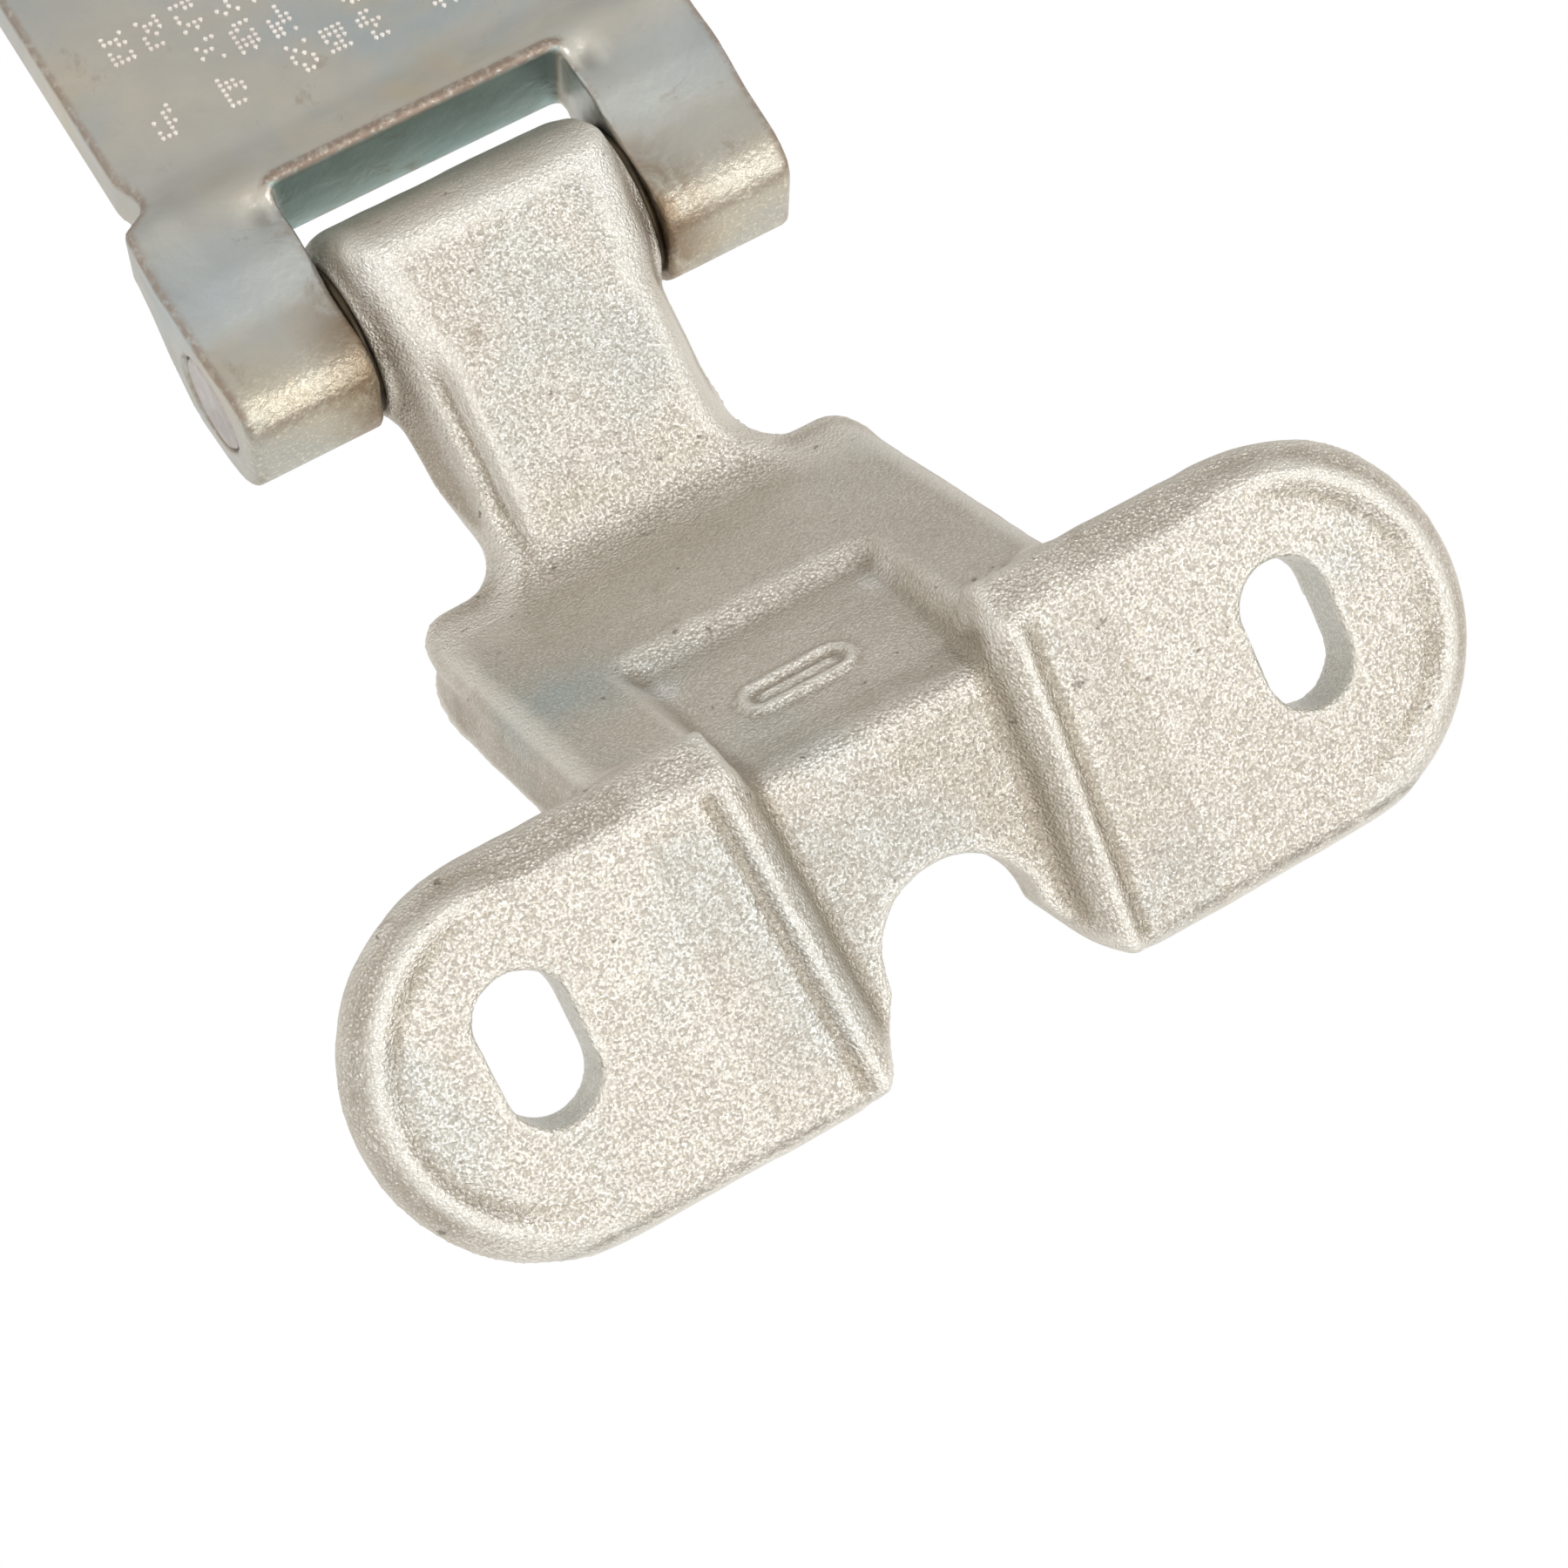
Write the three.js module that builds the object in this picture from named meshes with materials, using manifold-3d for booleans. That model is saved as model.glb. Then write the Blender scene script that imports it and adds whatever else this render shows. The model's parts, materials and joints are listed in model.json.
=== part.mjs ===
// Heavy two-leaf door hinge: a bent fork leaf, a forged gooseneck leaf, one pin and two flanged bushes.
// Units are millimetres. Z is up, along the pin. Every piece is shaped around the middle of the pin axis
// and moved at the end, so that the origin lies on the back face of the strap, between the near bolt holes.
// The strap runs toward -X, its front face looks toward -Y, and the wall it is bolted to lies toward +Y.
import * as THREE from 'three';
import { mergeVertices } from 'three/addons/utils/BufferGeometryUtils.js';
import Module from 'manifold-3d';

const wasm = await Module();
wasm.setup();

// ---- driving dimensions ----
const restAngle = 35;            // degrees the forged leaf is turned from the strap
const pinDiameter = 12;
const pinProud = 0.4;            // pin end beyond the outer face of an ear
const fitGap = 0.05;             // radial clearance of every round fit
const faceGap = 0.05;            // axial clearance of a bush flange
const bushWall = 2;
const flangeThickness = 0.9;
const flangeWidth = 1.6;         // flange beyond the outside of the sleeve

const knuckleWidth = 36.8;       // forged leaf, along the pin
const knuckleFront = 13.2;       // pin axis to the front face of the arm
const knuckleBack = 11.8;
const knuckleTop = 12.4;
const armRise = 3.5;             // the arm face comes forward by this up to the bend
const armThickness = 9.5;
const neckWidth = 35.2;
const shoulderAt = 31.8;         // pin axis to the shoulder edge, along the arm
const rampWidth = 59;
const rampSlope = 73;            // degrees between the arm face and the ramp
const leafThickness = 7.5;
const rampThickness = 8;
const padFront = 73;             // pin axis to the front face of the pads
const padCentreAt = 67.7;        // pin axis to the middle of the pads, along the arm
const padHeight = 44.8;
const padSpan = 135.4;           // across both pads
const padSlant = 4.5;            // the top edge of a pad slopes back by this
const slotWidth = 10.5;
const slotLength = 17.2;
const slotSpacing = 94.4;
const slotAbovePadCentre = 0.7;
const notchWidth = 19;
const notchDepth = 20;
const notchFlare = 5.7;          // the notch mouth opens by this on each side
const channelDepth = 3;
const channelTopWidth = 32.6;
const channelBottomWidth = 27;
const pocketStart = 25.7;         // below the pad face, where the channel starts on the ramp
const pocketDepth = 2.3;
const armParting = 10;           // the widest line of the arm lies this far behind its face
const armDraft = 2.4;            // the sides of the arm slope in by this, to the front and to the back
const rampParting = 3;
const rampDraftFront = 1.4;
const rampDraftBack = 5;
const endFaceDiameter = 21;      // flat round end faces of the knuckle, for the bush flanges
const beadWidth = 3;
const beadHeight = 0.9;
const bossMargin = 3;            // the boss behind the channel is wider than it on each side

const earWidth = 16.8;           // fork leaf, along the pin
const earFront = 9.8;
const earBack = 9.5;
const earEnd = 11.8;             // pin axis to the rounded end of the ears
const strapThickness = 8;
const strapFront = 9.5;          // pin axis to the front face of the strap
const strapWidth = 68.6;
const earTaper = 1;             // an ear is narrower by this where it leaves the strap
const strapLength = 118;         // pin axis to the far end of the strap
const windowWallAt = 15.5;       // pin axis to the far wall of the window
const humpHeight = 3.1;          // the window rim stands in front of the strap face by this
const humpLength = 12;
const reliefAt = 22.5;           // side relief notch, pin axis to its middle
const reliefLength = 9;
const reliefDepth = 2;
const boltHole = 10.5;
const nearBoltsAt = 66;
const nearBoltSpacing = 34;
const farBoltAt = 98;

const arcStep = 12;              // degrees per facet of a rounded corner
const roundSides = 64;           // facets of the pin, the bushes and their bores

// ---- tied dimensions ----
const sideGap = flangeThickness + 2 * faceGap;
const earInner = knuckleWidth / 2 + sideGap;
const earOuter = earInner + earWidth;
const sleeveDiameter = pinDiameter + 2 * (fitGap + bushWall);
const boreDiameter = sleeveDiameter + 2 * fitGap;
const rampRun = 1 / Math.tan(THREE.MathUtils.degToRad(rampSlope));
const padTop = padCentreAt - padHeight / 2;
const padBottom = padCentreAt + padHeight / 2;
const padBack = padFront - leafThickness;
const rampTopAt = padTop + 5.2;  // where the ramp face meets the pad face
const armFrontAtBend = knuckleFront + armRise;
const bendAt = rampTopAt - (padFront - armFrontAtBend) * rampRun;
const cut = 200;                 // larger than the whole hinge, for cutting tools

// ---- small helpers ----
function toSolid(geometry) {
  const plain = geometry.clone();
  plain.deleteAttribute('normal');
  plain.deleteAttribute('uv');
  const merged = mergeVertices(plain, 1e-4);
  const triVerts = new Uint32Array(merged.index.array);
  const vertProperties = new Float32Array(merged.attributes.position.array);
  return new wasm.Manifold(new wasm.Mesh({ numProp: 3, vertProperties, triVerts }));
}

// A closed outline from corners [x, y, radius]; each radius becomes an arc tangent to both sides.
function roundedOutline(corners) {
  const points = [];
  const count = corners.length;
  corners.forEach(([x, y, radius], i) => {
    const here = new THREE.Vector2(x, y);
    const before = new THREE.Vector2(...corners[(i + count - 1) % count]);
    const after = new THREE.Vector2(...corners[(i + 1) % count]);
    const toBefore = before.sub(here).normalize();
    const toAfter = after.sub(here).normalize();
    const half = Math.acos(THREE.MathUtils.clamp(toBefore.dot(toAfter), -1, 1)) / 2;
    if (!radius) {
      points.push(here);
      return;
    }
    const reach = radius / Math.tan(half);
    const centre = toBefore.clone().add(toAfter).normalize().multiplyScalar(radius / Math.sin(half)).add(here);
    const start = toBefore.clone().multiplyScalar(reach).add(here).sub(centre);
    const end = toAfter.clone().multiplyScalar(reach).add(here).sub(centre);
    const sweep = Math.atan2(start.cross(end), start.dot(end));
    const steps = Math.max(1, Math.round(Math.abs(THREE.MathUtils.radToDeg(sweep)) / arcStep));
    for (let step = 0; step <= steps; step += 1) {
      points.push(start.clone().rotateAround(new THREE.Vector2(), (sweep * step) / steps).add(centre));
    }
  });
  return new THREE.Shape(points);
}

// The outline in XY, pulled up along Z from z0 to z1.
function alongPin(shape, z0, z1) {
  const geometry = new THREE.ExtrudeGeometry(shape, { depth: z1 - z0, bevelEnabled: false, curveSegments: 1 });
  geometry.translate(0, 0, z0);
  return toSolid(geometry);
}

// The outline given in XZ, pulled along Y from y0 to y1.
function throughFace(shape, y0, y1) {
  const geometry = new THREE.ExtrudeGeometry(shape, { depth: y1 - y0, bevelEnabled: false, curveSegments: 1 });
  geometry.rotateX(Math.PI / 2);
  geometry.translate(0, y1, 0);
  return toSolid(geometry);
}

function roundRod(diameter, z0, z1) {
  const geometry = new THREE.CylinderGeometry(diameter / 2, diameter / 2, z1 - z0, roundSides);
  geometry.rotateX(Math.PI / 2);
  geometry.translate(0, 0, (z0 + z1) / 2);
  return toSolid(geometry);
}

function roundHole(diameter, x, z) {
  const geometry = new THREE.CylinderGeometry(diameter / 2, diameter / 2, cut, roundSides / 2);
  geometry.translate(x, 0, z);
  return toSolid(geometry);
}

function mirrored(corners) {
  return [...corners, ...corners.map(([x, y, radius]) => [x, -y, radius]).reverse()];
}

function toMesh(solid, name, colour, roughness, metalness) {
  const mesh = solid.translate([nearBoltsAt, strapFront - strapThickness, 0]).getMesh();
  const geometry = new THREE.BufferGeometry();
  geometry.setAttribute('position', new THREE.BufferAttribute(mesh.vertProperties, 3));
  geometry.setIndex(new THREE.BufferAttribute(mesh.triVerts, 1));
  geometry.computeVertexNormals();
  const material = new THREE.MeshStandardMaterial({ color: colour, roughness, metalness });
  const part = new THREE.Mesh(geometry, material);
  part.name = name;
  return part;
}

// ---- fork leaf ----
function forkSide() {
  const strapBack = strapFront - strapThickness;
  const rim = strapFront + humpHeight;
  return roundedOutline([
    [-strapLength, -strapFront, 1],
    [-windowWallAt - humpLength, -strapFront, 14],
    [-windowWallAt - 1, -rim, 5],
    [0, -earFront - 0.6, 14],
    [earEnd, -earFront, 5.5],
    [earEnd, earBack, 9],
    [-earBack / 2, earBack, 5],
    [-windowWallAt, -strapBack, 7],
    [-strapLength, -strapBack, 1],
  ]);
}

function forkOutline() {
  const strapHalf = strapWidth / 2;
  const reliefNear = -reliefAt + reliefLength / 2;
  const reliefFar = -reliefAt - reliefLength / 2;
  const half = [
    [-strapLength, strapHalf, 14],
    [reliefFar, strapHalf, 4],
    [-reliefAt - 1, strapHalf - reliefDepth, 2.5],
    [-reliefAt + 1, strapHalf - reliefDepth, 2.5],
    [reliefNear, earOuter - earTaper, 2],
    [0, earOuter - earTaper / 3, 20],
    [earEnd, earOuter, 1.2],
  ];
  return roundedOutline(mirrored(half));
}

function forkLeaf() {
  const window = roundedOutline([
    [-windowWallAt, earInner, 1.5],
    [-windowWallAt, -earInner, 1.5],
    [earEnd + cut, -earInner, 0],
    [earEnd + cut, earInner, 0],
  ]);
  const body = alongPin(forkSide(), -earOuter, earOuter)
    .intersect(throughFace(forkOutline(), -cut, cut))
    .subtract(throughFace(window, -cut, cut))
    .subtract(roundRod(pinDiameter + 2 * fitGap, -cut, cut))
    .subtract(roundHole(boltHole, -nearBoltsAt, nearBoltSpacing / 2))
    .subtract(roundHole(boltHole, -nearBoltsAt, -nearBoltSpacing / 2))
    .subtract(roundHole(boltHole, -farBoltAt, 0));
  return toMesh(body, 'fork_leaf', 0xb5b7ae, 0.38, 0.85);
}

// ---- forged leaf, modelled with its pads square to Y and then turned by the rest angle ----
function rampFaceAt(front) {
  return rampTopAt - (padFront - front) * rampRun;
}

function offRamp(front, depth) {
  const slope = THREE.MathUtils.degToRad(rampSlope);
  return [rampFaceAt(front) + depth * Math.sin(slope), -front + depth * Math.cos(slope)];
}

// Where a line parallel to the ramp face, one ramp thickness behind it, reaches a given front distance.
function rampBackAt(front) {
  const slope = THREE.MathUtils.degToRad(rampSlope);
  return rampFaceAt(front) + rampThickness / Math.sin(slope);
}

function leafSide() {
  const armBack = armFrontAtBend - armThickness;
  return roundedOutline([
    [-knuckleTop, -knuckleFront, 5],
    [bendAt, -armFrontAtBend, 9],
    [rampTopAt, -padFront, 3.5],
    [padBottom, -padFront, 1.5],
    [padBottom, -padBack, 2],
    [rampBackAt(padBack), -padBack, 4],
    [rampBackAt(armBack), -armBack, 10],
    [knuckleBack * 0.7, knuckleBack, 8],
    [-knuckleTop, knuckleBack, 9.5],
  ]);
}

function leafOutline() {
  const half = [
    [-knuckleTop, knuckleWidth / 2, 3],
    [shoulderAt - 14, knuckleWidth / 2 - 0.4, 12],
    [shoulderAt - 5, neckWidth / 2, 5],
    [shoulderAt, neckWidth / 2, 4.5],
    [shoulderAt, rampWidth / 2, 4],
    [padTop, rampWidth / 2 + 0.5, 5],
    [padTop, padSpan / 2, padHeight / 2 - 0.2],
    [padBottom, padSpan / 2, padHeight / 2 - 0.2],
    [padBottom, notchWidth / 2 + notchFlare, 8],
    [padBottom - notchDepth / 2, notchWidth / 2, 3],
    [padBottom - notchDepth, notchWidth / 2, notchWidth / 2 - 0.3],
  ];
  return roundedOutline(mirrored(half));
}

// Half the channel width at a distance along the arm; the channel narrows toward the notch.
function channelHalf(at) {
  const along = (at - padTop) / padHeight;
  return THREE.MathUtils.lerp(channelTopWidth, channelBottomWidth, along) / 2;
}

function channelPlan(margin, to) {
  const from = shoulderAt;
  return roundedOutline([
    [from, -channelHalf(from) - margin, 0],
    [to, -channelHalf(to) - margin, 0],
    [to, channelHalf(to) + margin, 0],
    [from, channelHalf(from) + margin, 0],
  ]);
}

function channelCut() {
  const floor = padFront - channelDepth;
  const creaseAt = rampTopAt + channelDepth * 1.2;
  const pocketTop = padFront - pocketStart;
  const side = roundedOutline([
    [...offRamp(pocketTop, 0), 0],
    [...offRamp(pocketTop, pocketDepth), 1],
    [creaseAt, -floor, 2],
    [cut, -floor, 0],
    [cut, -cut, 0],
    [0, -cut, 0],
    [0, -pocketTop, 0],
  ]);
  return alongPin(side, -cut, cut).intersect(throughFace(channelPlan(0, cut), -cut, cut));
}

function channelBoss() {
  const back = padBack - channelDepth;
  const pocketTop = padFront - pocketStart;
  const side = roundedOutline([
    [...offRamp(pocketTop - 6, rampThickness - 1), 0],
    [...offRamp(pocketTop - 3, rampThickness + pocketDepth - 1), 2],
    [rampBackAt(back) + channelDepth, -back, 3],
    [padBottom, -back, 1],
    [padBottom, -padBack - 2, 0],
    [rampBackAt(padBack), -padBack - 2, 0],
  ]);
  const plan = channelPlan(bossMargin, padBottom + 1);
  return alongPin(side, -cut, cut).intersect(throughFace(plan, -cut, cut));
}

// A low bead runs along each edge of the channel, on the pad face.
function channelBead(side) {
  const near = rampTopAt + 1;
  const far = padBottom - 2;
  const plan = [
    [near, side * channelHalf(near), 0],
    [far, side * channelHalf(far), 0],
    [far, side * (channelHalf(far) + beadWidth), 1.2],
    [near, side * (channelHalf(near) + beadWidth), 1.2],
  ];
  return throughFace(roundedOutline(side > 0 ? plan : plan.reverse()), -padFront - beadHeight, -padFront + 1);
}

function slot(side) {
  const at = padCentreAt - slotAbovePadCentre;
  const centre = (side * slotSpacing) / 2;
  const reach = slotLength / 2;
  const radius = slotWidth / 2;
  return throughFace(
    roundedOutline([
      [at - reach, centre - radius, radius],
      [at + reach, centre - radius, radius],
      [at + reach, centre + radius, radius],
      [at - reach, centre + radius, radius],
    ]),
    -cut,
    cut,
  );
}

// The two pads with the strip between them; the top edge slopes back.
function padSide() {
  return roundedOutline([
    [padTop, -padFront + padSlant, 1],
    [rampTopAt, -padFront, 3.5],
    [padBottom, -padFront, 1.5],
    [padBottom, -padBack, 2],
    [padTop, -padBack, 1.5],
  ]);
}

// A bar along X with drafted sides, from its half widths at three depths behind its front face.
function draftedBar(stations, from, to) {
  const [[, frontHalf]] = stations;
  const [, backHalf] = stations[stations.length - 1];
  const half = [[-cut, frontHalf], ...stations, [cut, backHalf]];
  const outline = new THREE.Shape(mirrored(half).map(([depth, z]) => new THREE.Vector2(z, depth)));
  const geometry = new THREE.ExtrudeGeometry(outline, { depth: to - from, bevelEnabled: false });
  geometry.rotateY(Math.PI / 2);
  geometry.translate(from, 0, 0);
  return toSolid(geometry);
}

// Everything the drafted sides leave standing: the arm, the ramp between the shoulders, and the pads.
function draftedSpace() {
  const armHalf = knuckleWidth / 2;
  const rampHalf = rampWidth / 2 + 0.3;
  const armStations = [
    [0, armHalf - armDraft],
    [armParting, armHalf],
    [knuckleFront + knuckleBack, armHalf - armDraft],
  ];
  const rampStations = [
    [0, rampHalf - rampDraftFront],
    [rampParting, rampHalf],
    [rampThickness, rampHalf - rampDraftBack],
  ];
  const arm = draftedBar(armStations, -cut, bendAt).translate([0, -knuckleFront, 0]);
  const ramp = draftedBar(rampStations, -cut, cut)
    .rotate([0, 0, -rampSlope])
    .translate([rampTopAt, -padFront, 0]);
  const pads = roundedOutline([
    [-cut, -padBack + 1, 0],
    [-cut, -cut, 0],
    [cut, -cut, 0],
    [cut, -padBack + channelDepth + 1, 0],
    [rampBackAt(padBack), -padBack + channelDepth + 1, 0],
    [rampBackAt(padBack) - 4, -padBack + 1, 0],
  ]);
  return arm.add(ramp).add(alongPin(pads, -cut, cut));
}

function forgedLeaf() {
  const outline = throughFace(leafOutline(), -cut, cut);
  const webHalf = rampWidth / 2 + 0.5;
  const body = alongPin(leafSide(), -webHalf, webHalf)
    .add(alongPin(padSide(), -padSpan / 2, padSpan / 2))
    .add(channelBoss())
    .add(channelBead(1))
    .add(channelBead(-1))
    .subtract(channelCut())
    .intersect(outline)
    .intersect(draftedSpace())
    .add(roundRod(endFaceDiameter, -knuckleWidth / 2, knuckleWidth / 2))
    .subtract(slot(1))
    .subtract(slot(-1))
    .subtract(roundRod(boreDiameter, -cut, cut))
    .rotate([0, 0, restAngle]);
  return toMesh(body, 'forged_leaf', 0xc9c5ba, 0.55, 0.75);
}

// ---- pin and bushes ----
function hingePin() {
  const half = earOuter + pinProud;
  const profile = [
    new THREE.Vector2(0, -half),
    new THREE.Vector2(pinDiameter / 2 - pinProud, -half),
    new THREE.Vector2(pinDiameter / 2, -half + pinProud),
    new THREE.Vector2(pinDiameter / 2, half - pinProud),
    new THREE.Vector2(pinDiameter / 2 - pinProud, half),
    new THREE.Vector2(0, half),
  ];
  const geometry = new THREE.LatheGeometry(profile, roundSides);
  geometry.rotateX(Math.PI / 2);
  return toMesh(toSolid(geometry), 'hinge_pin', 0x9d9690, 0.4, 0.9);
}

function bush(name, side) {
  const flangeInner = knuckleWidth / 2 + faceGap;
  const flangeOuter = flangeInner + flangeThickness;
  const sleeveEnd = 1;
  const sleeveFrom = Math.min(side * sleeveEnd, side * flangeInner);
  const sleeveTo = Math.max(side * sleeveEnd, side * flangeInner);
  const flangeFrom = Math.min(side * flangeInner, side * flangeOuter);
  const body = roundRod(sleeveDiameter, sleeveFrom, sleeveTo)
    .add(roundRod(sleeveDiameter + 2 * flangeWidth, flangeFrom, flangeFrom + flangeThickness))
    .subtract(roundRod(pinDiameter + 2 * fitGap, -cut, cut));
  return toMesh(body, name, 0x6f6a5c, 0.5, 0.6);
}

const hinge = new THREE.Group();
hinge.name = 'gooseneck_hinge';
hinge.add(forkLeaf());
hinge.add(hingePin());
hinge.add(forgedLeaf());
hinge.add(bush('bush_upper', 1));
hinge.add(bush('bush_lower', -1));

export default hinge;
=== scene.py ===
"""Looks of a gooseneck door hinge: bent fork leaf, forged leaf with two slotted pads, pin and two bushes.

Lengths are worked out in millimetres around the pin axis and turned into metres when a mesh is made.
The fork leaf uses x (from the strap toward the pin), y (toward the wall) and z (up along the pin).
The forged leaf uses p (along the arm, toward the pads), q (toward the front of the pads) and z.
"""

import json
import math

import bpy
import numpy as np
from mathutils import Matrix, Vector


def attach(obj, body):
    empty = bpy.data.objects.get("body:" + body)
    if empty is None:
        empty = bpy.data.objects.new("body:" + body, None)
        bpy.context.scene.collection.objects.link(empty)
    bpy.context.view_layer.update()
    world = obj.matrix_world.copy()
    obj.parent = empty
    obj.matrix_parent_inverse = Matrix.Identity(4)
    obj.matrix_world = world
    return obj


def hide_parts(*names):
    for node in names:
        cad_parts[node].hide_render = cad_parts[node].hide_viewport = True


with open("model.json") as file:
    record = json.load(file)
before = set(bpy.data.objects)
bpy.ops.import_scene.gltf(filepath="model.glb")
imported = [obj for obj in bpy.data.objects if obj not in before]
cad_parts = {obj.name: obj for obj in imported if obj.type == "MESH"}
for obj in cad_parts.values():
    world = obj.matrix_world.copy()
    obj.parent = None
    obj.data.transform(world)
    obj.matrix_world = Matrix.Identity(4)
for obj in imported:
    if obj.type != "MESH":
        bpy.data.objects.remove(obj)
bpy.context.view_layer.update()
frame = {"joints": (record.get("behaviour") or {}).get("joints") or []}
SWING = frame["joints"][0]
PIN = Vector(SWING["pos_m"])
MM = 0.001

# ---- sizes of the forged leaf, in millimetres ----
REST_ANGLE = math.radians(35)
KNUCKLE_HALF = 18.4
KNUCKLE_TOP = 12.4
KNUCKLE_FRONT = 13.2
KNUCKLE_BACK = 11.8
ARM_FRONT_AT_BEND = 16.7
ARM_THICKNESS = 9.5
SHOULDER_AT = 31.8
NECK_HALF = 17.6
RAMP_HALF = 29.8
RAMP_SLOPE = math.radians(73)
RAMP_RUN = 1 / math.tan(RAMP_SLOPE)
RAMP_THICKNESS = 8
PAD_FRONT = 73
PAD_BACK = 65.5
PAD_TOP = 45.3
PAD_BOTTOM = 90.9
PAD_HALF_SPAN = 68.1
PAD_SLANT = 4.5
LOWER_BAND = 1.7
RAMP_TOP_AT = 50.5
SLOT_AT = 67.0
SLOT_Z = 47.2
SLOT_RADIUS = 5.25
SLOT_STRAIGHT = 3.35
CHANNEL_TOP_HALF = 16.3
CHANNEL_BOTTOM_HALF = 13.5
CHANNEL_DEPTH = 3
CHANNEL_WALL = 3.4
POCKET_FRONT = 47.3
BORE_RADIUS = 8.08
END_FACE_RADIUS = 10.5
FRONT_BEND_RADIUS = 9

# ---- sizes of the fork leaf ----
EAR_INNER = 19.4
EAR_OUTER = 36.1
EAR_FRONT = 9.8
EAR_BACK = 9.5
EAR_END = 11
STRAP_FRONT = 9.5
STRAP_BACK = 1.55
STRAP_HALF = 34.2
STRAP_END = 117.9
WINDOW_WALL_AT = 15.5
RIM_FRONT = 12.5
HUMP_LENGTH = 7.5
RELIEF_AT = 22.5
RELIEF_DEPTH = 1.3
PIN_RADIUS = 6
PIN_HALF = 36.55
BOLT_RADIUS = 5.25
NEAR_BOLTS_AT = 66
NEAR_BOLT_Z = 17
FAR_BOLT_AT = 98

# ---- sizes of the pin and the bushes ----
PIN_CHAMFER = 0.9
CLEARANCE = 0.05
BUSH_START = 1.2
FLANGE_WIDTH = 1.55
FLANGE_THICKNESS = 0.85

# ---- set and camera, in metres, with the camera placed from the pin ----
FLOOR_REACH = 3.0
FLOOR_HEIGHT = -0.22
CAMERA_FROM_PIN = (0.23403, -0.40944, -0.11192)
CAMERA_RIGHT = (0.51821, -0.02405, 0.85492)
CAMERA_UP = (-0.78008, -0.42310, 0.46094)
CAMERA_LENS = 93.04

GRID = 0.6
OUTSIDE = 60  # further out than the surfaces near it


# ---- distance fields: every one is negative inside the solid ----
def rounded_outline(corners):
    """Points of a closed outline; each corner is x, y and the radius that rounds it."""
    points = []
    count = len(corners)
    for i, (x, y, radius) in enumerate(corners):
        here = np.array([x, y], float)
        to_before = np.array(corners[i - 1][:2], float) - here
        to_after = np.array(corners[(i + 1) % count][:2], float) - here
        to_before /= np.linalg.norm(to_before)
        to_after /= np.linalg.norm(to_after)
        if radius == 0:
            points.append(here)
            continue
        half = math.acos(float(np.clip(to_before @ to_after, -1, 1))) / 2
        middle = to_before + to_after
        centre = here + middle / np.linalg.norm(middle) * radius / math.sin(half)
        start = here + to_before * radius / math.tan(half) - centre
        end = here + to_after * radius / math.tan(half) - centre
        sweep = math.atan2(start[0] * end[1] - start[1] * end[0], float(start @ end))
        steps = max(2, round(abs(math.degrees(sweep)) / 6))
        for step in range(steps + 1):
            turn = sweep * step / steps
            cos, sin = math.cos(turn), math.sin(turn)
            points.append(centre + [cos * start[0] - sin * start[1], sin * start[0] + cos * start[1]])
    return np.array(points)


def mirrored(corners):
    """The corners of half an outline, followed by their mirror images on the way back."""
    return list(corners) + [(x, -y, radius) for x, y, radius in reversed(corners)]


def outline_distance(points, x, y):
    """Distance from each grid point to a closed outline, negative inside it."""
    nearest = np.full(np.broadcast(x, y).shape, 1e9)
    inside = np.zeros(nearest.shape, bool)
    for (ax, ay), (bx, by) in zip(points, np.roll(points, -1, axis=0)):
        ex, ey = bx - ax, by - ay
        length = ex * ex + ey * ey
        if length < 1e-12:
            continue
        along = np.clip(((x - ax) * ex + (y - ay) * ey) / length, 0, 1)
        nearest = np.minimum(nearest, (x - ax - along * ex) ** 2 + (y - ay - along * ey) ** 2)
        if ay != by:
            crosses = ((ay > y) != (by > y)) & (x < ax + (y - ay) * ex / ey)
            inside ^= crosses
    return np.where(inside, -1, 1) * np.sqrt(nearest)


def meet(a, b, radius):
    """The part inside both fields, its edge rounded."""
    over = np.hypot(np.maximum(a + radius, 0), np.maximum(b + radius, 0)) - radius
    return np.where((a > -radius) & (b > -radius), over, np.maximum(a, b))


def join(a, b, radius):
    """The part inside either field, with a fillet between them."""
    return -meet(-a, -b, radius)


def rise(value, start, end):
    """0 before start, 1 after end, with an eased way between."""
    t = np.clip((value - start) / (end - start), 0, 1)
    return t * t * (3 - 2 * t)


def ridge(value, centre, width):
    """1 at the centre, falling smoothly to 0 within a few widths on either side."""
    return np.exp(-(((value - centre) / width) ** 2))


def looked_up(field, low, step, x, y):
    """Values of a 2-D field at any points, blended between its grid points."""
    u = np.clip((x - low[0]) / step, 0, field.shape[0] - 1.001)
    v = np.clip((y - low[1]) / step, 0, field.shape[1] - 1.001)
    i, j = u.astype(int), v.astype(int)
    fu, fv = u - i, v - j
    near = field[i, j] * (1 - fv) + field[i, j + 1] * fv
    far = field[i + 1, j] * (1 - fv) + field[i + 1, j + 1] * fv
    return near * (1 - fu) + far * fu


def lumps(shape, size, seed):
    """Smooth random unevenness between -1 and 1 on a grid, with lumps of about that many cells."""
    rng = np.random.default_rng(seed)
    coarse = rng.uniform(-1, 1, [n // size + 3 for n in shape])
    for axis, count in enumerate(shape):
        at = np.arange(count) / size
        i = at.astype(int)
        t = (at - i) ** 2 * (3 - 2 * (at - i))
        t = t.reshape([-1 if a == axis else 1 for a in range(3)])
        coarse = np.take(coarse, i, axis) * (1 - t) + np.take(coarse, i + 1, axis) * t
    return coarse


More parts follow.
